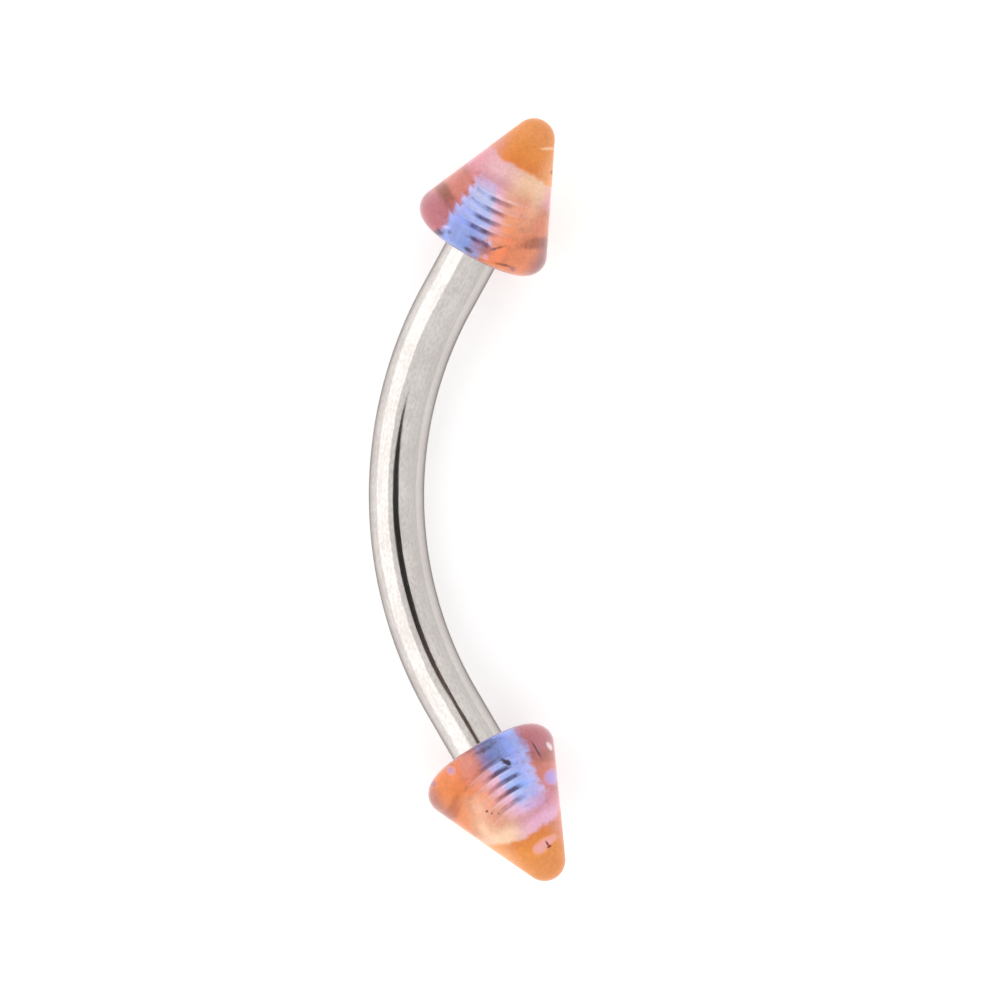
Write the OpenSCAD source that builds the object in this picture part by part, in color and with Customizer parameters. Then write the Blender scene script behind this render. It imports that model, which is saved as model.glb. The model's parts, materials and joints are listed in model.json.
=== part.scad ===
// Curved eyebrow barbell: a bent steel bar with a threaded post at each end,
// and a pointed acrylic tip screwed onto each post.
// It lies as it comes to rest by itself, on the middle of the bend and on the rims
// of both tips. The bar's bend opens towards +X, its length runs along Y.

/* [Bar] */
// Diameter of the bar, 16 gauge
bar_d = 1.2; // [1:0.05:1.6]
// Radius of the bend, measured to the bar's centreline
bend_r = 8.15; // [6:0.05:12]
// Angle from the middle of the bend to where each straight end begins
bend_half = 32; // [20:1:40]
// Length of the straight stretch between the bend and each tip
straight_l = 1.3; // [0.4:0.05:4]
// How much thinner than its straight ends the bend is drawn
bend_draw = 0.004; // [0.002:0.002:0.02]

/* [Thread] */
// Length of the threaded post beyond the bar's shoulder
post_l = 1.35; // [1:0.05:1.8]
// Distance from one turn of the thread to the next
pitch = 0.25; // [0.2:0.05:0.35]
// Height of the thread from its root to its crest
thread_h = 0.13; // [0.08:0.01:0.16]
// How far the crest of the thread lies inside the bar's surface
crest_inset = 0.035; // [0.03:0.005:0.06]
// Width of the bevel that leads the thread in
lead_in = 0.1; // [0.05:0.01:0.15]

/* [Tips] */
// Diameter of a tip across its widest place
tip_d = 3; // [2.8:0.1:4]
// Height of a tip from its base to its point
tip_h = 3.15; // [2.9:0.05:4]
// Radius of the rounded point
point_r = 0.45; // [0.3:0.05:0.6]
// Radius of the rounded edge round the base
rim_r = 0.4; // [0.2:0.05:0.5]
// How much further the hole in a tip goes than the post
hole_spare = 0.45; // [0.1:0.05:0.5]
// Height of the shallow cone that the drill leaves at the end of the hole
drill_h = 0.12; // [0.05:0.01:0.2]

/* [Fit] */
// Radial clearance between the crest of the thread and the hole
hole_clear = 0.012; // [0.01:0.001:0.02]
// Gap between the bar's shoulder and the base of a tip
seat_gap = 0.01; // [0:0.005:0.05]

/* [Hidden] */
$fn = 96;
steel = "silver";
acrylic = "salmon";
thread_sides = 16;
rings_per_turn = 8;
// Length that the post goes into the bar, and a straight end into the bend
lap = 0.05;
bar_r = bar_d / 2;
bend_bar_r = bar_r - bend_draw / 2;
tip_r = tip_d / 2;
crest_r = bar_r - crest_inset;
root_r = crest_r - thread_h;
hole_r = crest_r + hole_clear;
hole_l = post_l + hole_spare;

// The straight ends begin where the bend stops, and the tips sit on their shoulders.
shoulder_x = bend_r * (1 - cos(bend_half)) + straight_l * sin(bend_half);
shoulder_y = bend_r * sin(bend_half) + straight_l * cos(bend_half);
seat_x = shoulder_x + seat_gap * sin(bend_half);
seat_y = shoulder_y + seat_gap * cos(bend_half);

// Tilt at which the bar's middle and the rounded edges of both tips touch one plane.
rim_centre_x = seat_x + rim_r * sin(bend_half);
rim_centre_r = tip_r - rim_r;
rim_over_bar = rim_r - bend_bar_r;
rim_reach = pow(rim_centre_x, 2) + pow(rim_centre_r * sin(bend_half), 2);
rest_tilt = asin((rim_centre_x * rim_over_bar
    + sqrt(pow(rim_centre_x * rim_over_bar, 2)
        - rim_reach * (pow(rim_over_bar, 2) - pow(rim_centre_r, 2)))) / rim_reach);

// The origin is under the middle of the whole, between the back of the bend
// and the further of the tip's point and its rim.
axis_x = sin(bend_half) * cos(rest_tilt);
point_reach = (seat_x + (tip_h - point_r) * sin(bend_half)) * cos(rest_tilt) + point_r;
rim_side = rim_centre_r * sqrt(1 - axis_x * axis_x) + rim_r;
rim_side_reach = rim_centre_x * cos(rest_tilt) + rim_side;
middle_x = (max(point_reach, rim_side_reach) - bend_bar_r) / 2;

// From the plane of the bend, with its middle at the origin, to the resting place.
module at_rest() {
    translate([-middle_x, 0, bend_bar_r])
        rotate([0, -rest_tilt, 0])
            children();
}

// To one end of the bar, with +Z out along it. Half a turn, not a mirror image,
// makes the lower end, so that both threads are right-handed.
module at_end(x, y, upper) {
    rotate([upper ? 0 : 180, 0, 0])
        translate([x, y, 0])
            rotate([-90, 0, -bend_half])
                children();
}

// Share of the thread's height at a share of one turn: flat crest and root, even flanks.
function thread_wave(u) = let (t = u - floor(u))
    max(0, min(1, (4 * abs(t - 0.5) - 1) * 0.75 + 0.5));

// The thread starts at the shoulder, on a plain root, and ends in the bevel.
function post_radius(z, turn) = z <= 0 ? root_r : min(
    root_r + thread_h * thread_wave(z / pitch - turn),
    root_r - lead_in / 2 + (post_l - z));

module threaded_post() {
    rings = ceil((post_l + lap) / pitch * rings_per_turn);
    step = (post_l + lap) / rings;
    n = thread_sides;
    points = [for (k = [0 : rings], i = [0 : n - 1])
        let (z = k * step - lap, r = post_radius(z, i / n))
            [r * cos(360 * i / n), r * sin(360 * i / n), z]];
    sides = [for (k = [0 : rings - 1], i = [0 : n - 1])
        let (a = k * n + i, b = k * n + (i + 1) % n)
            each [[a, a + n, b], [b, a + n, b + n]]];
    bottom = [for (i = [0 : n - 1]) i];
    top = [for (i = [n - 1 : -1 : 0]) rings * n + i];
    polyhedron(points, concat([bottom], sides, [top]));
}

module bar() {
    color(steel) at_rest() {
        translate([bend_r, 0, 0])
            rotate([0, 0, 180 - bend_half])
                rotate_extrude(angle = 2 * bend_half)
                    translate([bend_r, 0])
                        circle(r = bend_bar_r);
        for (upper = [true, false])
            at_end(shoulder_x, shoulder_y, upper) {
                translate([0, 0, -straight_l - lap])
                    cylinder(h = straight_l + lap, r = bar_r);
                threaded_post();
            }
    }
}

// Half of a tip's outline: its base, rounded rim, straight flank and rounded point.
module tip_outline() {
    point_z = tip_h - point_r;
    run = rim_centre_r;
    rise = point_z - rim_r;
    span = norm([run, rise]);
    flank = atan2(run, rise) + asin((point_r - rim_r) / span);
    out = [cos(flank), sin(flank)];
    intersection() {
        square([tip_r, tip_h]);
        union() {
            translate([rim_centre_r, rim_r])
                circle(r = rim_r);
            translate([0, point_z])
                circle(r = point_r);
            polygon([[0, 0], [rim_centre_r, 0], [rim_centre_r, rim_r],
                [rim_centre_r, rim_r] + rim_r * out, [0, point_z] + point_r * out,
                [0, point_z]]);
        }
    }
}

module tip(upper) {
    color(acrylic) at_rest() at_end(seat_x, seat_y, upper)
        difference() {
            rotate_extrude()
                tip_outline();
            translate([0, 0, -drill_h])
                cylinder(h = hole_l + drill_h, r = hole_r);
            translate([0, 0, hole_l])
                cylinder(h = drill_h, r1 = hole_r, r2 = 0);
        }
}

bar();
tip(true);  // upper_tip
tip(false);  // lower_tip
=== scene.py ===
import bpy
import json
from math import acos, asin, atan2, cos, floor, hypot, pi, radians, sin
from mathutils import Matrix, Vector


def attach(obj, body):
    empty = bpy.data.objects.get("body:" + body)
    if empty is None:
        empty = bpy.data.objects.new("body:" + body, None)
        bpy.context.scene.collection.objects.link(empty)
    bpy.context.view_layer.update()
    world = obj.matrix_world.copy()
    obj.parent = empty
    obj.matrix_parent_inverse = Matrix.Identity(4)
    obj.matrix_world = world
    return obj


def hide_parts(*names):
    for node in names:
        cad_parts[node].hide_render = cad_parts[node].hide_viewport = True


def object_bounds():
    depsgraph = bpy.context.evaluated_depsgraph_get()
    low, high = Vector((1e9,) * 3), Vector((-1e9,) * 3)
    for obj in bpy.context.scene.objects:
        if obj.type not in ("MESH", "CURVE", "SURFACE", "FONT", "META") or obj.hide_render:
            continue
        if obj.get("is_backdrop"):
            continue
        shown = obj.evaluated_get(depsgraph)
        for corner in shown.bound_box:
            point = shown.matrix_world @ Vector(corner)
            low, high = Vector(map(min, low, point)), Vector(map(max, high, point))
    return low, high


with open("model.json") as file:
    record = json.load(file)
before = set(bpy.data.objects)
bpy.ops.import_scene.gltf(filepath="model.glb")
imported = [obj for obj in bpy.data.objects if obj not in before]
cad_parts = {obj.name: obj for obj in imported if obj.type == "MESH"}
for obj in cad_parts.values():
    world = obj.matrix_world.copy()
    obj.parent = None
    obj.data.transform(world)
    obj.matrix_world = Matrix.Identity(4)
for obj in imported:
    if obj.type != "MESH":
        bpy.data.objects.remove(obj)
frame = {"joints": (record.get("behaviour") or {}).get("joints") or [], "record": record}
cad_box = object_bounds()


# The table is a plain white sheet, and a large soft light stands low on its left. What hangs
# straight above, where the camera is, is dark, and shows in the steel as a black line.
mm = 0.001
scene = bpy.context.scene
scene.view_settings.view_transform = "Standard"
scene.cycles.use_denoising = True
# Light has to pass into the acrylic, round the thread in its hole, and out again
scene.cycles.max_bounces = 24
scene.cycles.transmission_bounces = 24
scene.cycles.glossy_bounces = 12
scene.cycles.diffuse_bounces = 6

PHOTO_SIZE = 1000
PIXELS_PER_MM = 46.25
CAMERA_HEIGHT = 200 * mm
CAMERA_TURN = radians(-0.84)
# The pixel at which the table's point (0.439, 0) mm shows
ANCHOR_PIXEL = (484.7, 500.4)
ANCHOR_X = 0.439 * mm
SENSOR_WIDTH = 36

camera = bpy.data.objects.new("camera", bpy.data.cameras.new("camera"))
camera.data.sensor_width = SENSOR_WIDTH
camera.data.lens = PIXELS_PER_MM * CAMERA_HEIGHT / mm / PHOTO_SIZE * SENSOR_WIDTH
camera.data.clip_start = 1 * mm
camera.data.clip_end = 5
to_middle = Vector((PHOTO_SIZE / 2 - ANCHOR_PIXEL[0], ANCHOR_PIXEL[1] - PHOTO_SIZE / 2, 0))
to_middle = Matrix.Rotation(CAMERA_TURN, 3, "Z") @ to_middle * (mm / PIXELS_PER_MM)
camera.location = Vector((ANCHOR_X, 0, CAMERA_HEIGHT)) + to_middle
camera.rotation_euler = (0, 0, CAMERA_TURN)
scene.collection.objects.link(camera)
scene.camera = camera


def feed(node, values):
    """Fills a node's sockets: a wire is linked, a number or a colour is set."""
    for name, value in values.items():
        if isinstance(value, Wire):
            value.tree.links.new(value.socket, node.inputs[name])
        else:
            node.inputs[name].default_value = value


class Wire:
    """A socket in a material's nodes. A sum written with it adds the nodes that work it out."""

    def __init__(self, tree, socket=None):
        self.tree = tree
        self.socket = socket

    def node(self, kind, settings, sockets, output=0):
        """Adds a node: its settings first, then the values or links of its sockets."""
        made = self.tree.nodes.new("ShaderNode" + kind)
        for name, value in settings.items():
            if name != "stops":
                setattr(made, name, value)
                continue
            while len(made.color_ramp.elements) < len(value):
                made.color_ramp.elements.new(0.5)
            for stop, (where, colour) in zip(made.color_ramp.elements, value):
                stop.position, stop.color = where, colour
        feed(made, sockets)
        return Wire(self.tree, made.outputs[output])

    def part(self, output):
        """Another output of the same node."""
        return Wire(self.tree, self.socket.node.outputs[output])

    def maths(self, operation, *values):
        return self.node("Math", {"operation": operation}, dict(enumerate(values)))

    def __add__(self, other):
        return self.maths("ADD", self, other)

    def __radd__(self, other):
        return self.maths("ADD", other, self)

    def __sub__(self, other):
        return self.maths("SUBTRACT", self, other)

    def __rsub__(self, other):
        return self.maths("SUBTRACT", other, self)

    def __mul__(self, other):
        return self.maths("MULTIPLY", self, other)

    def __rmul__(self, other):
        return self.maths("MULTIPLY", other, self)

    def __truediv__(self, other):
        return self.maths("DIVIDE", self, other)

    def rise(self, low, high):
        """A mask that goes smoothly from 0 at low to 1 at high."""
        return self.node("MapRange", {"interpolation_type": "SMOOTHSTEP"},
                         {"Value": self, "From Min": low, "From Max": high})

    def near(self, middle, reach):
        """A mask that is 1 where the value is at middle, and 0 from reach away."""
        return self.maths("ABSOLUTE", self - middle).rise(reach, reach * 0.3)

    def blend(self, below, above):
        """The colour below where this mask is 0, and above where it is 1."""
        return self.node("Mix", {"data_type": "RGBA"}, {0: self, 6: below, 7: above}, output=2)

    def ramp(self, *stops):
        """Colours that follow one another as this value goes through the stops."""
        low, high = stops[0][0], stops[-1][0]
        places = [((where - low) / (high - low), colour) for where, colour in stops]
        return self.node("ValToRGB", {"stops": places}, {0: (self - low) / (high - low)})

    def scaled(self, shares):
        """This vector, with each of its three numbers times a share of its own."""
        return self.node("VectorMath", {"operation": "MULTIPLY"}, {0: self, 1: shares})

    def cloud(self, size, detail=2.0):
        """Noise about 0 whose lumps are as large as size, in this vector's own unit."""
        noise = self.node("TexNoise", {}, {"Vector": self, "Scale": 1 / size, "Detail": detail})
        return noise - 0.5


def new_material(name):
    """A material with one Principled shader: the material, its shader and its first wire."""
    material = bpy.data.materials.new(name)
    material.use_nodes = True
    tree = material.node_tree
    return material, tree.nodes["Principled BSDF"], Wire(tree)


def sheet(name, outline, height, material):
    """A flat level sheet at a height, as part of the stage."""
    mesh = bpy.data.meshes.new(name)
    mesh.from_pydata([(x, y, height) for x, y in outline], [], [tuple(range(len(outline)))])
    mesh.materials.append(material)
    made = bpy.data.objects.new(name, mesh)
    scene.collection.objects.link(made)
    made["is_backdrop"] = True
    return made


TABLE_CORNERS = [(-1, -1), (1, -1), (1, 1), (-1, 1)]
TABLE_WHITE = (0.85, 0.85, 0.85, 1)
TABLE_GLOW = 0.35
white, shader, wire = new_material("white_table")
feed(shader, {"Base Color": TABLE_WHITE, "Roughness": 0.9, "Specular IOR Level": 0.0,
              "Emission Color": (1, 1, 1, 1), "Emission Strength": TABLE_GLOW})
sheet("table", TABLE_CORNERS, 0, white)

# The dark frame over the table stays out of the camera's sight. It is a long leaf, brown at
# its far end: each row is a place along it, and its left and right edges there.
FRAME_HEIGHT = 0.3
FRAME_ROWS = ((-0.056, -0.045, -0.035), (-0.04, -0.07, 0.01), (-0.01, -0.084, 0.05),
              (0.07, -0.066, 0.056), (0.14, -0.05, 0.034), (0.2, -0.035, 0.0))
FRAME_BLACK = (0.02, 0.02, 0.02, 1)
FRAME_BROWN = (0.1, 0.07, 0.055, 1)
dark, shader, wire = new_material("dark_frame")
place = wire.node("TexCoord", {}, {}, "Object")
far_end = place.node("SeparateXYZ", {}, {0: place}, "Y").rise(0.05, 0.14)
feed(shader, {"Base Color": far_end.blend(FRAME_BLACK, FRAME_BROWN), "Roughness": 1.0})
leaf = [(left, y) for y, left, right in FRAME_ROWS]
leaf += [(right, y) for y, left, right in reversed(FRAME_ROWS)]
overhead = sheet("overhead", leaf, FRAME_HEIGHT, dark)
overhead.visible_camera = False

SKY_LIGHT = 1.0
world = bpy.data.worlds.new("room")
scene.world = world
world.use_nodes = True
feed(world.node_tree.nodes["Background"], {"Color": (1, 1, 1, 1), "Strength": SKY_LIGHT})

# The softbox is nearly a metre wide, and stands an arm's length to the left
SOFTBOX_SIDE = 0.9
SOFTBOX_PLACE = Vector((-0.6, 0.0, 0.22))
SOFTBOX_POWER = 1.6
softbox = bpy.data.lights.new("softbox", "AREA")
softbox.shape = "RECTANGLE"
softbox.size = SOFTBOX_SIDE
softbox.size_y = SOFTBOX_SIDE
softbox.energy = SOFTBOX_POWER
lamp = bpy.data.objects.new("softbox", softbox)
lamp.location = SOFTBOX_PLACE
lamp.rotation_euler = (-SOFTBOX_PLACE).to_track_quat("-Z", "Y").to_euler()
scene.collection.objects.link(lamp)


# The bar is one rod of surgical steel, cut to length, threaded at both ends, bent round a
# former and polished to a mirror. It lies on the back of its bend and on the rims of the
# tips, so its open side leans up.
BEND_RADIUS = 8.15 * mm
# How much thinner in radius the bend is than the straight ends
BEND_DRAW = 0.002 * mm
STRAIGHT = 1.3 * mm
THREAD_PITCH = 0.25 * mm
THREAD_HEIGHT = 0.13 * mm
CREST_INSET = 0.035 * mm
POST_LENGTH = 1.35 * mm
LEAD_IN = 0.1 * mm
# Where the thread begins at the upper and the lower shoulder, in turns
THREAD_STARTS = {1: 0.56, -1: 0.37}
SHOULDER_BEVEL = 0.025 * mm
POINTS_ROUND = 96
RINGS_PER_TURN = 24
BEND_RINGS = 128
SHARP_ANGLE = radians(35)

seat = next(m for m in frame["record"]["mounts"] if m["name"] == "piercing_seat")
bar_middle = Vector(seat["pos_m"])
bar_radius = seat["dims"]["r_mm"] * mm
crest_radius = bar_radius - CREST_INSET
root_radius = crest_radius - THREAD_HEIGHT

axes = {joint["child"]: Vector(joint["axis"]).normalized() for joint in frame["joints"]}
upper_axis = axes["upper_tip"]
bend_half = acos(abs(upper_axis.y))
rest_tilt = atan2(upper_axis.z, upper_axis.x)
at_rest = Matrix.Translation(bar_middle) @ Matrix.Rotation(-rest_tilt, 4, "Y")


def along_bar(angle, beyond=0.0):
    """The rod's frame at an angle of the bend, or beyond its end: x towards the hollow of
    the bend, z along the rod."""
    run = Vector((sin(angle), cos(angle), 0))
    inward = Vector((cos(angle), -sin(angle), 0))
    where = BEND_RADIUS * Vector((1 - cos(angle), sin(angle), 0)) + beyond * run
    turn = Matrix((inward, run.cross(inward), run)).transposed().to_4x4()
    return at_rest @ Matrix.Translation(where) @ turn


def along_straight(angle, beyond=0.0):
    """The same frame before the rod was bent, as it lay along z."""
    return Matrix.Translation((0, 0, BEND_RADIUS * angle + beyond))


def end_frame(side, rod=along_bar):
    """The frame of one shoulder, with z out along the post. side is 1 for the upper one."""
    shoulder = rod(side * bend_half, side * STRAIGHT)
    return shoulder if side > 0 else shoulder @ Matrix.Rotation(pi, 4, "X")


def on_axis(height):
    """The point of a frame's z axis at a height."""
    return Vector((0, 0, height))


def share(value):
    """The value, kept between 0 and 1."""
    return max(0.0, min(1.0, value))


def thread_wave(turns):
    """Share of the thread's height: flat crest and root, even flanks."""
    return share((4 * abs(turns - floor(turns) - 0.5) - 1) * 0.75 + 0.5)


def thread_radius(side, height, angle):
    turns = height / THREAD_PITCH - angle / (2 * pi) + THREAD_STARTS[side]
    return root_radius + THREAD_HEIGHT * thread_wave(turns)


def post_radius(side, height, angle):
    """The thread, cut down at the post's end by the bevel that leads it in."""
    bevel = root_radius - LEAD_IN / 2 + POST_LENGTH - height
    return min(thread_radius(side, height, angle), bevel)


def ring(place, height, radius_at):
    """One ring of points round z at a height of a frame."""
    made = []
    for i in range(POINTS_ROUND):
        angle = 2 * pi * i / POINTS_ROUND
        radius = radius_at(angle)
        made.append(place @ Vector((radius * cos(angle), radius * sin(angle), height)))
    return made


def skinned(name, rings, first, last):
    """A mesh with faces from ring to ring, closed at each end by a point."""
    points = [p for one in rings for p in one]
    n = POINTS_ROUND
    faces = []
    for k in range(len(rings) - 1):
        for i in range(n):
            j = (i + 1) % n
            faces.append((k * n + i, k * n + j, (k + 1) * n + j, (k + 1) * n + i))
    for end, row in ((first, 0), (last, len(rings) - 1)):
        points.append(end)
        for i in range(n):
            pair = (row * n + (i + 1) % n, row * n + i)
            faces.append((*(pair if row == 0 else pair[::-1]), len(points) - 1))
    mesh = bpy.data.meshes.new(name)
    mesh.from_pydata(points, [], faces)
    mesh.shade_smooth()
    mesh.set_sharp_from_angle(angle=SHARP_ANGLE)
    made = bpy.data.objects.new(name, mesh)
    scene.collection.objects.link(made)
    return made


def post_rings(side, rod):
    """The rings of one end, from its shoulder out to the end of its post."""
    place = end_frame(side, rod)
    made = [ring(place, -SHOULDER_BEVEL, lambda angle: bar_radius)]
    made.append(ring(place, 0, lambda angle: bar_radius - SHOULDER_BEVEL))
    steps = round(POST_LENGTH / THREAD_PITCH * RINGS_PER_TURN)
    for k in range(steps + 1):
        height = POST_LENGTH * k / steps
        made.append(ring(place, height, lambda angle: post_radius(side, height, angle)))
    return made


def rod_rings(rod):
    """All rings of the bar, from the end of the lower post to the end of the upper one."""
    # The lower end's rings run the other way round, so their points are put back in order
    lower = [[one[-i % POINTS_ROUND] for i in range(POINTS_ROUND)]
             for one in reversed(post_rings(-1, rod))]
    bend = []
    for k in range(BEND_RINGS + 1):
        angle_here = bend_half * (2 * k / BEND_RINGS - 1)
        bend.append(ring(rod(angle_here), 0, lambda angle: bar_radius - BEND_DRAW))
    return lower + bend + post_rings(1, rod)


def post_ends(rod):
    """The end point of the lower post, and of the upper one."""
    return [end_frame(side, rod) @ on_axis(POST_LENGTH) for side in (-1, 1)]


bar = skinned("steel_bar", rod_rings(along_bar), *post_ends(along_bar))
unbent = bar.data.attributes.new("unbent_place", "FLOAT_VECTOR", "POINT")
straight_points = [p for one in rod_rings(along_straight) for p in one]
straight_points += post_ends(along_straight)
for kept, point in zip(unbent.data, straight_points):
    kept.vector = point / mm


def paint(red, green, blue):
    """The colour that shows as these levels, each from 0 to 255."""
    levels = [level / 255 for level in (red, green, blue)]
    return (*[v / 12.92 if v < 0.04 else ((v + 0.055) / 1.055) ** 2.4 for v in levels], 1)


# The rod is drawn, so fine lines run along it, and small pits and clouds are left by the polish.
# The hollow side of the bend is painted a little darker: painted shade, for the table in the bar's
# own shadow that it reflects
DULL_STEEL = paint(198, 191, 187)
BRIGHT_STEEL = paint(218, 212, 208)
SHADED_HOLLOW_STEEL = paint(192, 186, 182)
EDGE_STEEL = (0.4, 0.39, 0.38, 1)
POLISH_DEPTH = 0.003 * mm
steel, shader, wire = new_material("polished_steel")
place = wire.node("Attribute", {"attribute_name": "unbent_place"}, {}, "Vector")
drawn = place.scaled((24, 24, 1.2)).cloud(1.0, detail=4)
pits = place.scaled((1, 1, 0.5)).cloud(0.05)
clouds = place.cloud(0.8, detail=3)
tone = (0.5 + 1.2 * clouds + 1.4 * pits + 0.8 * drawn).rise(0.1, 0.9)
tone = tone.blend(DULL_STEEL, BRIGHT_STEEL)
# Painted shade: the hollow side is darkened towards a duller steel tone
painted_shade_hollow_side = 0.6 * place.node("SeparateXYZ", {}, {0: place}, "X").rise(0.36, 0.58)
tone = painted_shade_hollow_side.blend(tone, SHADED_HOLLOW_STEEL)
bump = wire.node("Bump", {}, {"Height": drawn, "Distance": POLISH_DEPTH, "Strength": 0.4})
feed(shader, {"Metallic": 1.0, "Specular Tint": EDGE_STEEL, "Base Color": tone,
              "Roughness": 0.1 + 0.05 * drawn, "Normal": bump})
bar.data.materials.append(steel)
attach(bar, "bar")
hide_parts("bar")


# Each tip is turned from a rod of clear acrylic with swirls of orange, pink and blue in it,
# drilled and tapped from its base, polished outside, and screwed onto its post. The hole's
# wall stays frosted.
SEAT_GAP = 0.01 * mm
TIP_WIDTH = 3.0 * mm
TIP_HEIGHT = 3.15 * mm
POINT_RADIUS = 0.45 * mm
RIM_RADIUS = 0.4 * mm
# How much further the hole goes than the post, and the dome that the drill leaves there
HOLE_SPARE = 0.45 * mm
DRILL_HEIGHT = 0.12 * mm
# The thread in the hole runs out over this length, half of it before the post's end
RUN_OUT = 0.4 * mm
# The mouth of the hole is bored as wide as the thread, to this depth
COUNTERBORE = 0.12 * mm
THREAD_CLEAR = 0.012 * mm
DRILL_RINGS = 10
RIM_ROWS = 16
FLANK_ROWS = 32
POINT_ROWS = 16
hole_length = POST_LENGTH + HOLE_SPARE


def tip_outline():
    """Heights and radii of the outside, from the base out round the rim and up to the point."""
    rim_middle = TIP_WIDTH / 2 - RIM_RADIUS
    point_middle = TIP_HEIGHT - POINT_RADIUS
    rise = point_middle - RIM_RADIUS
    flank = atan2(rim_middle, rise) + asin((POINT_RADIUS - RIM_RADIUS) / hypot(rim_middle, rise))
    rows = []
    for k in range(RIM_ROWS + 1):
        turn = -pi / 2 + (flank + pi / 2) * k / RIM_ROWS
        rows.append((RIM_RADIUS + RIM_RADIUS * sin(turn), rim_middle + RIM_RADIUS * cos(turn)))
    foot = rows[-1]
    top = (point_middle + POINT_RADIUS * sin(flank), POINT_RADIUS * cos(flank))
    for k in range(1, FLANK_ROWS):
        rows.append(tuple(a + (b - a) * k / FLANK_ROWS for a, b in zip(foot, top)))
    for k in range(POINT_ROWS):
        turn = flank + (pi / 2 - flank) * k / POINT_ROWS
        rows.append((point_middle + POINT_RADIUS * sin(turn), POINT_RADIUS * cos(turn)))
    return rows


def tip_mesh(name, side, place, thread_turn):
    """One tip: its hole from the end that the drill leaves down to its mouth, then the outside.
    Faces of material 1 are the wall of the hole."""
    drill_radius = root_radius + THREAD_CLEAR
    at_base = Matrix.Identity(4)
    rings = []
    for k in range(1, DRILL_RINGS):
        turn = pi / 2 * (1 - k / DRILL_RINGS)
        height = hole_length + DRILL_HEIGHT * sin(turn)
        rings.append(ring(at_base, height, lambda angle: drill_radius * cos(turn)))
    steps = round(hole_length / THREAD_PITCH * RINGS_PER_TURN)
    for k in range(steps, -1, -1):
        height = hole_length * k / steps
        tapped = share((POST_LENGTH + RUN_OUT / 2 - height) / RUN_OUT)
        opened = share(2 * (COUNTERBORE - height) / THREAD_PITCH + 1)

        def wall(angle):
            thread = thread_radius(side, height + SEAT_GAP, angle - thread_turn) - root_radius
            return drill_radius + max(thread * tapped, THREAD_HEIGHT * opened)
        rings.append(ring(at_base, height, wall))
    for height, radius in tip_outline():
        rings.append(ring(at_base, height, lambda angle: radius))
    hole_end = on_axis(hole_length + DRILL_HEIGHT)
    made = skinned(name, rings, hole_end, on_axis(TIP_HEIGHT))
    mesh = made.data
    turned = mesh.attributes.new("turned_place", "FLOAT_VECTOR", "POINT")
    for point, kept in zip(mesh.vertices, turned.data):
        kept.vector = point.co / mm
    for face in mesh.polygons:
        in_hole = max(mesh.vertices[v].co.xy.length for v in face.vertices) < bar_radius
        face.material_index = int(in_hole and face.center.z < hole_end.z)
    mesh.transform(place)
    return made


# The colours run in bands across each tip and along it, as the rod was cast. Every place is in
# millimetres: across the tip, and along it on the level, as the photo shows it. These two
# numbers are the cosine and the sine of the angle at which its axis leans up.
LEAN_ALONG, LEAN_ACROSS = 0.976, 0.216


class Turned:
    """Wires for a place in one tip's own frame, and for the noise that marbles it."""

    def __init__(self, wire, swirl):
        place = wire.node("Attribute", {"attribute_name": "turned_place"}, {}, "Vector")
        self.x = place.node("SeparateXYZ", {}, {0: place}, "X")
        self.y, self.z = self.x.part("Y"), self.x.part("Z")
        swirled = place.node("VectorMath", {"operation": "ADD"}, {0: place, 1: swirl})
        self.warp = swirled.cloud(0.9, detail=3)
        self.ripple = swirled.cloud(0.3, detail=3)
        self.smudge = swirled.cloud(0.16, detail=4)
        self.grain = swirled.cloud(0.07, detail=3)
        self.lean = self.z * LEAN_ALONG + self.y * LEAN_ACROSS
        # 1 on the side that faces up
        self.front = self.y.rise(0.15, -0.15)

    def mottled(self, colour):
        """The colour, a little lighter and darker from grain to grain."""
        strength = 1 + 0.45 * self.grain + 0.2 * self.ripple
        return colour.node("VectorMath", {"operation": "SCALE"}, {0: colour, "Scale": strength})

    def bump(self):
        sockets = {"Height": self.grain, "Distance": POLISH_DEPTH, "Strength": 0.3}
        return self.grain.node("Bump", {}, sockets)


ACRYLIC_IOR = 1.49
PAINTED_WALL_GLOW = 0.48
DEEP_BLUE = paint(132, 174, 246)
BLUE = paint(176, 200, 255)
SKY_BLUE = paint(162, 206, 255)
PALE_BLUE = paint(202, 224, 255)
LAVENDER = paint(224, 206, 248)
LILAC = paint(236, 198, 220)
CORAL = paint(242, 168, 122)
ROSY_PEACH = paint(220, 156, 142)
THREAD_ORANGE = paint(234, 176, 130)
PEACH = paint(228, 180, 158)
PALE_PEACH = paint(226, 188, 156)
PALE_PINK = paint(218, 174, 178)
SLATE = paint(66, 56, 98)
VALLEY_SHADE_RED = paint(150, 84, 80)
GLINT = paint(246, 232, 246)
DUSK = paint(112, 72, 96)
UNLIT = (0, 0, 0, 1)


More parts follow.
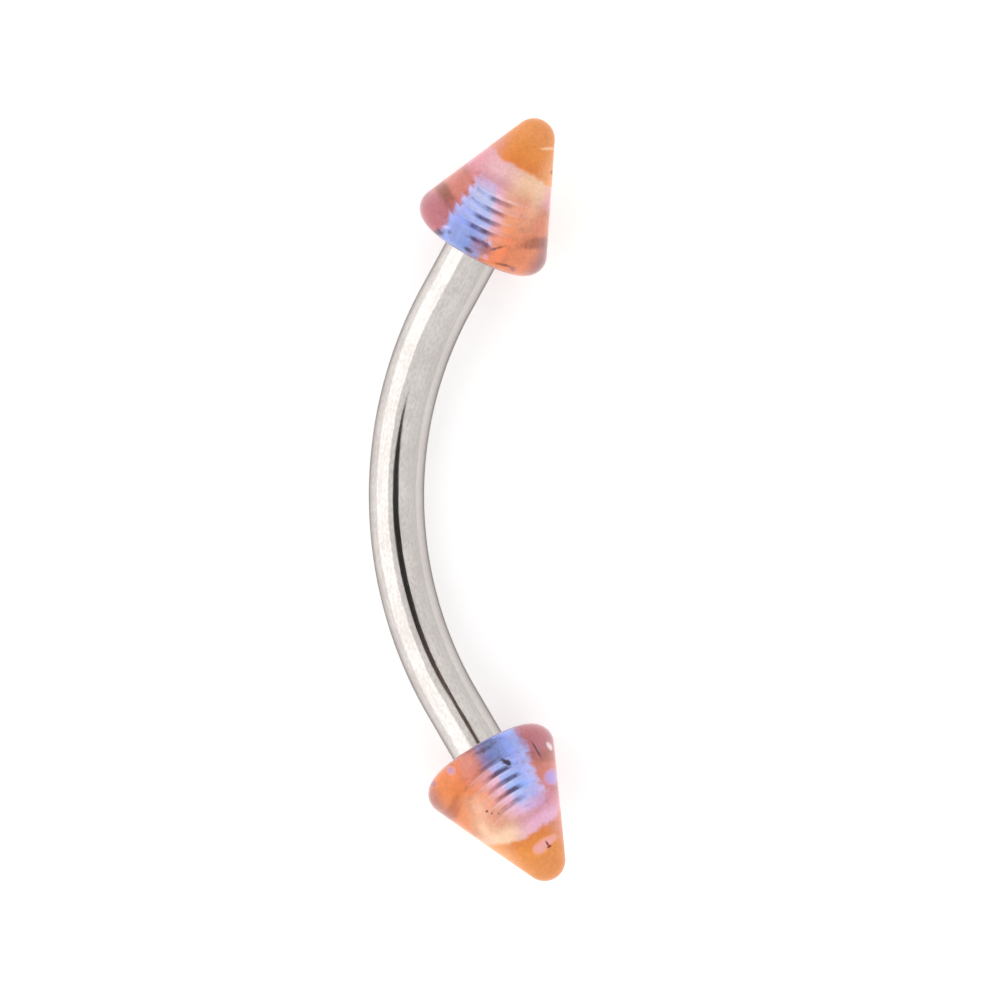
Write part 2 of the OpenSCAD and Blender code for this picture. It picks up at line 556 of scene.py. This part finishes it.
def tapped_wall(name, look, phase):
    """The frosted wall of the hole: blue on the left, orange on the right, with painted shade as
    dark streaks in the thread's valleys and painted highlights as fine lines along its crests. The
    side that faces up and the end glow as painted light; the rest is painted dark as shade.
    phase is where the thread begins, in turns."""
    material, shader, wire = new_material(name)
    at = Turned(wire, look["swirl"])
    blue_to, haze_from = look["blue_to"], look["haze_from"]
    shifted = at.x + look["blue_slants"] * (at.z - 0.9) + 0.2 * at.warp + 0.15 * at.ripple
    height = at.z + 0.3 * at.warp
    blues = height.ramp((0.1, DEEP_BLUE), (0.45, BLUE), (1.1, look["pale_blue"]), (1.45, LAVENDER))
    between = height.ramp((0.3, look["warm_low"]), (0.7, LILAC))
    warms = height.ramp((0.2, look["warm_low"]), (0.8, THREAD_ORANGE), (1.1, PEACH))
    lilac_from = blue_to + 0.1
    colour = shifted.rise(lilac_from, lilac_from + look["lilac"]).blend(between, warms)
    colour = shifted.rise(blue_to - 0.05, blue_to + 0.12).blend(blues, colour)
    hole_end = at.x.ramp((-0.2, PALE_PINK), (0.3, PALE_PEACH))
    colour = (at.z + 0.2 * at.warp).rise(haze_from, haze_from + 0.2).blend(colour, hole_end)

    helix = at.z / (THREAD_PITCH / mm) - wire.maths("ARCTAN2", at.y, at.x) / (2 * pi)
    turns = wire.maths("FRACT", helix + phase)
    threaded = at.front * at.z.rise(haze_from + 0.07, haze_from - 0.03)
    across = at.x + 0.4 * at.ripple + 0.3 * at.warp - look["valley_shade_at"]
    # Painted shade: dark streaks where the thread's valleys lie, slate on the blue and red-brown
    # on the warm side
    valley_shade = turns.near(0.5, 0.32) * across.near(0.0, 0.4) * threaded * at.z.rise(0.08, 0.14)
    valley_shade = valley_shade * (0.75 + 2.2 * at.ripple)
    colour = valley_shade.blend(colour, shifted.rise(blue_to, blue_to + 0.2).blend(SLATE, VALLEY_SHADE_RED))
    # Painted highlights: pale lines along the thread's crests, on the side that faces up
    glint = turns.near(0.95, 0.22) * across.near(0.16, 0.56) * threaded * at.z.rise(0.3, 0.4)
    glint = glint * (0.42 + 1.5 * at.ripple)
    colour = at.mottled(glint.blend(colour, GLINT))

    # Painted light and shade: the side that faces up and the end of the hole glow with their own
    # colour, and the rest is painted towards dusky mauve as shade inside
    painted_lit = wire.maths("MAXIMUM", at.front, at.z.rise(0.8, 1.1))
    shaded_inside = (0.35 + 0.65 * painted_lit).blend(DUSK, colour)
    painted_glow = painted_lit.blend(UNLIT, colour)
    feed(shader, {"IOR": ACRYLIC_IOR, "Roughness": 0.45, "Base Color": shaded_inside,
                  "Emission Color": painted_glow, "Emission Strength": PAINTED_WALL_GLOW, "Normal": at.bump()})
    return material


PAINTED_MARBLE_GLOW = 0.2
MAUVE = paint(182, 106, 114)
SALMON = paint(204, 120, 106)
HOT_PINK = paint(206, 132, 144)
ORANGE = paint(226, 136, 94)
SALMON_ORANGE = paint(214, 128, 92)
FLANK_ORANGE = paint(224, 128, 66)
PEACH_ORANGE = paint(218, 140, 96)
BROWN = paint(136, 70, 44)
RED_BROWN = paint(166, 76, 34)
MILKY_BLUE = paint(158, 174, 236)
MILKY_LAVENDER = paint(196, 190, 238)
MILKY_PEACH = paint(224, 164, 132)
ORCHID = paint(222, 174, 204)
CLEAR = paint(246, 244, 252)
CLEAR_PEACH = paint(252, 236, 222)
DEEP_ORANGE = paint(214, 120, 44)
TIP_ORANGE = paint(220, 138, 58)
HAZY_ORANGE = paint(220, 142, 76)
ROSE_ORANGE = paint(208, 134, 116)
PALE_ORANGE = paint(224, 156, 102)


def flank_colours(at, look, height, aside):
    """Mauve to pink on the left, orange on the right, and dusky at the far right."""
    pink_from = look["pink_from"]
    left = height.ramp((0.1, MAUVE), (0.55, MAUVE), (0.75, SALMON), (pink_from, SALMON),
                       (pink_from + 0.25, HOT_PINK))
    low_right, high_right, top_right = look["right_flank"]
    right = height.ramp((0.1, low_right), (0.55, low_right), (0.85, high_right),
                        (1.25, high_right), (1.5, top_right))
    colour = (at.x + 0.2 * at.warp).rise(-0.3, 0.5).blend(left, right)
    # Painted reflections: the wall of the hole, seen twice more in the flanks through the glass,
    # is painted there as darker brownish creases
    painted_wall_image = at.lean - 0.56 * aside + 0.1 * at.ripple
    painted_wall_image = painted_wall_image.near(0.08, 0.22) + 0.4 * painted_wall_image.near(0.82, 0.14) + 0.6 * at.smudge
    painted_wall_image = painted_wall_image * (aside + 0.3 * at.smudge).rise(0.7, 1.05)
    left_wall_image, right_wall_image = look["wall_images"]
    on_right = at.x.rise(-0.1, 0.1)
    strength = left_wall_image + (right_wall_image - left_wall_image) * on_right
    wall_image_tone = on_right.blend(BROWN, look["right_wall_image"])
    colour = (painted_wall_image * strength * at.front).blend(colour, wall_image_tone)
    far_right = at.x.rise(1.1, 1.45) * at.front * look["far_right"]
    return far_right.blend(colour, DUSK)


def beside_hole(at, look, height, colour):
    """The milk beside the hole takes the colours of its wall, so that its edge doesn't show."""
    foot = 0.05 * at.lean.rise(0.6, 0.3)
    # The rows of the thread cut the edge of the blue into teeth, which fade at the base
    teeth = at.lean.maths("FRACT", (at.lean + 0.5 * at.x) / (THREAD_PITCH / mm))
    teeth = look["teeth"] * (teeth - 0.5) * at.lean.rise(0.0, 0.4)
    blue_from = look["blue_from"]
    bluish = at.x + 0.25 * at.ripple + 0.12 * at.smudge + foot + teeth
    bluish = (bluish - 0.1 * at.lean.rise(0.4, 1.3)).rise(blue_from - 0.07, blue_from + 0.1)
    blues = height.ramp((0.1, MILKY_BLUE), (1.1, MILKY_LAVENDER), (1.6, HOT_PINK))
    colour = (bluish * at.x.rise(0.0, -0.2) * at.front).blend(colour, blues)
    peachy = at.x + 0.3 * at.warp + 0.2 * at.ripple - look["peach_to"]
    peachy = peachy.rise(0.2, -0.25) * at.lean.rise(0.4, 0.7)
    peaches = height.ramp((0.5, PEACH_ORANGE), (1.0, MILKY_PEACH), (1.4, PALE_PEACH))
    return (peachy * at.x.rise(0.0, 0.2) * at.front).blend(colour, peaches)


def orange_point(at, look):
    """The deep orange point, rosier on its left and paler on its right: mask and colour."""
    orange = at.lean + 0.08 * at.warp + 0.15 * at.ripple - 0.12 * at.x.rise(-0.3, -0.7)
    orange = orange + look["orange_bows"] * at.x * at.x
    orange = orange + 0.1 * at.smudge - 0.15 * at.x.rise(-0.3, -0.6) * at.grain
    orange = orange.rise(look["orange_from"] - 0.02, look["orange_from"] + 0.1)
    oranges = (at.lean + 0.4 * at.ripple).ramp((1.9, DEEP_ORANGE), (2.3, TIP_ORANGE),
                                               (2.7, HAZY_ORANGE))
    below_top = at.lean.rise(2.7, 2.2)
    rosy = 0.9 * (at.x + 0.2 * at.warp).rise(-0.3, -0.65) * below_top
    pale = 0.7 * (at.x + 0.2 * at.warp).rise(0.3, 0.6) * below_top
    return orange, pale.blend(rosy.blend(oranges, ROSE_ORANGE), PALE_ORANGE)


def flaws_and_painted_light(at, marks):
    """The mask and the tone of each small mark, with ragged edges, on the side that faces up."""
    for across, along, half_width, half_height, slope, strength, tone in marks:
        off_across = at.x - across
        off_along = (at.lean - along - slope * off_across) / half_height
        off_across = off_across / half_width
        far = off_across * off_across + off_along * off_along + 3.0 * at.smudge + 1.2 * at.grain
        yield far.rise(3.0, -0.5) * at.front * strength, tone


def polished_outside(name, look):
    """The acrylic: clear over the hole, milky orange, pink and mauve elsewhere, with a deep
    orange point, small dark flaws, and small marks of painted highlight and painted shade."""
    material, shader, wire = new_material(name)
    at = Turned(wire, look["swirl"])
    aside = wire.maths("ABSOLUTE", at.x + 0.1 * at.warp)
    height = at.lean + 0.3 * at.warp
    colour = flank_colours(at, look, height, aside)
    colour = beside_hole(at, look, height, colour)
    # A pale haze lies over the end of the hole
    haze_from, haze_reach = look["haze_from"], look["haze_reach"]
    milk = (at.lean + 0.1 * at.warp).rise(haze_from - 0.05, haze_from + 0.35)
    haze = milk * (aside + 0.3 * at.ripple).rise(haze_reach, haze_reach - 0.5)
    haze_tone = (at.x + 0.3 * at.warp).rise(-0.3, 0.4).blend(look["haze_tone"], PALE_PEACH)
    colour = haze.blend(colour, haze_tone)
    orange, oranges = orange_point(at, look)
    colour = orange.blend(colour, oranges)
    # Painted shade: the base and the foot of its rim are darkened towards dusky mauve, for the
    # table's shadow seen through the glass
    painted_shade_base_edge = 0.75 * at.z.rise(0.1, 0.03)
    colour = at.mottled(painted_shade_base_edge.blend(colour, DUSK))

    over_hole = (aside + 0.2 * at.ripple).rise(0.8, 0.45) * at.front * (1 - 0.75 * milk)
    cloudy = 0.08 + 0.7 * (1 - over_hole) + 0.2 * milk + 0.2 * at.warp + painted_shade_base_edge
    for spot, tone in flaws_and_painted_light(at, look["marks"]):
        colour = (1.3 * spot).blend(colour, tone)
        cloudy = cloudy + spot
    glass = (at.x + 0.2 * at.warp).rise(-0.1, 0.6).blend(CLEAR, CLEAR_PEACH)
    glass = over_hole.blend(colour, glass)
    both = {"IOR": ACRYLIC_IOR, "Roughness": 0.06 + 0.25 * orange, "Normal": at.bump()}
    feed(shader, {**both, "Base Color": glass, "Transmission Weight": 1.0})
    # Painted light: the milky share glows a little with its own colour
    milky = wire.tree.nodes.new("ShaderNodeBsdfPrincipled")
    feed(milky, {**both, "Base Color": colour, "Emission Color": colour,
                 "Emission Strength": PAINTED_MARBLE_GLOW})
    mixed = wire.node("MixShader", {}, {0: cloudy, 1: Wire(wire.tree, shader.outputs[0]),
                                        2: Wire(wire.tree, milky.outputs[0])})
    feed(wire.tree.nodes["Material Output"], {"Surface": mixed})
    return material


PATCH_LAVENDER = paint(166, 140, 204)
PALE_ROSE = paint(222, 158, 162)
DARK_RED = paint(124, 44, 28)
PLUM = paint(96, 40, 70)
TEAL = paint(92, 112, 166)
GREY_LILAC = paint(172, 130, 168)
GREY_ROSE = paint(140, 80, 108)
DARK = paint(42, 32, 58)
HIGHLIGHT_WHITE = paint(225, 235, 245)

# How the colours lie in each tip: first in the wall of its hole, then outside. Each row of
# "marks" is a place across and along the tip, half the mark's width and height, its slope,
# its strength and its tone.
TIPS = {
    "upper_tip": {
        "side": 1, "swirl": (0, 0, 0),
        "blue_to": -0.06, "blue_slants": 0.32, "pale_blue": PALE_BLUE,
        "lilac": 0.24, "warm_low": CORAL, "valley_shade_at": -0.06,
        "pink_from": 1.25, "right_flank": (ORANGE, SALMON_ORANGE, HOT_PINK),
        "wall_images": (0.8, 0.75), "right_wall_image": BROWN, "far_right": 0.75,
        "blue_from": -0.74, "teeth": 0.15, "peach_to": 0.82,
        "haze_from": 1.33, "haze_reach": 0.85, "haze_tone": PALE_PINK,
        "orange_from": 1.87, "orange_bows": 0.0,
        "marks": (
            (0.72, 2.2, 0.05, 0.04, 0, 1.0, DARK_RED),
            # Painted highlight of a light near the point
            (0.37, 2.59, 0.1, 0.03, 0.6, 0.6, PALE_PEACH),
            (-0.1, -0.14, 0.12, 0.04, 0, 0.8, DARK),
            (-0.6, 0.0, 0.05, 0.04, 0, 0.6, SLATE),
            (-0.8, -0.1, 0.1, 0.07, 0.2, 0.7, DARK),
            (0.47, 0.21, 0.1, 0.035, 0.9, 0.8, BROWN),
            (0.735, -0.05, 0.13, 0.03, 0.3, 0.8, BROWN),
            (0.95, -0.03, 0.06, 0.05, 0, 0.6, DUSK),
            # Painted shade of a thread valley across the base block
            (0.04, 0.13, 0.26, 0.05, 0.06, 0.8, SLATE),
            (0.2, 0.02, 0.22, 0.1, 0, 0.65, DUSK),
            (0.26, 0.22, 0.08, 0.04, -0.5, 0.6, MILKY_LAVENDER),
            (0.32, -0.1, 0.06, 0.05, 0, 0.4, MILKY_LAVENDER),
            (-0.72, 0.06, 0.07, 0.03, 0.3, 0.25, LAVENDER),
            (-1.44, 0.5, 0.06, 0.1, 0, 0.4, DUSK),
        ),
    },
    "lower_tip": {
        "side": -1, "swirl": (5, 3, 7),
        "blue_to": -0.1, "blue_slants": 0.2, "pale_blue": SKY_BLUE,
        "lilac": 0.38, "warm_low": ROSY_PEACH, "valley_shade_at": -0.06,
        "pink_from": 1.08, "right_flank": (FLANK_ORANGE, FLANK_ORANGE, PEACH_ORANGE),
        "wall_images": (0.45, 0.7), "right_wall_image": RED_BROWN, "far_right": 0.6,
        "blue_from": -0.87, "teeth": 0.06, "peach_to": 0.95,
        "haze_from": 1.48, "haze_reach": 1.0, "haze_tone": ORCHID,
        "orange_from": 1.95, "orange_bows": 0.35,
        "marks": (
            (0.42, 1.7, 0.2, 0.16, 0, 0.4, PALE_PEACH),
            (0.68, 1.42, 0.14, 0.16, 0, 0.35, MILKY_PEACH),
            (0.55, 0.9, 0.14, 0.2, 0, 0.45, PEACH),
            (-0.1, 2.33, 0.15, 0.1, 0.2, 0.7, PALE_ROSE),
            (-0.3, 2.3, 0.14, 0.07, 0, 0.7, PALE_ROSE),
            (-0.24, 2.34, 0.02, 0.06, 0, 0.8, DARK_RED),
            (-0.24, 2.42, 0.04, 0.02, 0, 0.9, DARK_RED),
            (-1.06, 0.52, 0.018, 0.2, 0, 0.9, PLUM),
            # Painted highlight: a small white star of reflected light
            (-1.33, 0.59, 0.035, 0.08, 0, 0.5, HIGHLIGHT_WHITE),
            (-0.2, 0.12, 0.4, 0.12, 0, 0.4, TEAL),
            (-0.15, -0.02, 0.3, 0.12, 0, 0.3, SLATE),
            (-1.05, 1.18, 0.12, 0.12, 0, 0.9, PATCH_LAVENDER),
            # Painted shade of a thread valley
            (-0.05, 0.25, 0.26, 0.03, 0.15, 0.6, SLATE),
            (-0.37, 0.38, 0.08, 0.08, -0.8, 1.0, DARK),
            (-0.17, -0.09, 0.26, 0.06, 0, 0.6, DARK),
            (0.735, -0.05, 0.07, 0.08, 0, 0.7, GREY_LILAC),
            (1.21, 0.0, 0.06, 0.08, 0, 0.7, GREY_ROSE),
            (0.45, 1.18, 0.02, 0.02, 0, 0.8, DARK_RED),
            (0.52, 1.09, 0.025, 0.02, 0, 0.9, DARK_RED),
            (0.33, 1.26, 0.025, 0.02, 0, 0.9, DARK_RED),
        ),
    },
}
for name, look in TIPS.items():
    # The tip's frame: x level across it, to the right of its point, y down, z out along the post
    side = look["side"]
    shoulder = end_frame(side)
    out = shoulder.to_3x3() @ on_axis(1)
    across = out.cross(on_axis(1)).normalized()
    turn = Matrix((across, out.cross(across), out)).transposed().to_4x4()
    place = Matrix.Translation(shoulder @ on_axis(SEAT_GAP)) @ turn
    # How far the post's frame, in which the thread is cut, is turned from the tip's
    rod_side = turn.inverted().to_3x3() @ (shoulder.to_3x3() @ Vector((1, 0, 0)))
    thread_turn = atan2(rod_side.y, rod_side.x)
    phase = SEAT_GAP / THREAD_PITCH + thread_turn / (2 * pi) + THREAD_STARTS[side]
    tip = tip_mesh("acrylic_" + name, side, place, thread_turn)
    tip.data.materials.append(polished_outside(name + "_acrylic", look))
    tip.data.materials.append(tapped_wall(name + "_tapped_wall", look, phase))
    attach(tip, name)
    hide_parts(name)


boxes = {"cad": cad_box, "visual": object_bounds()}
{name: [list(corner) for corner in box] for name, box in boxes.items()}
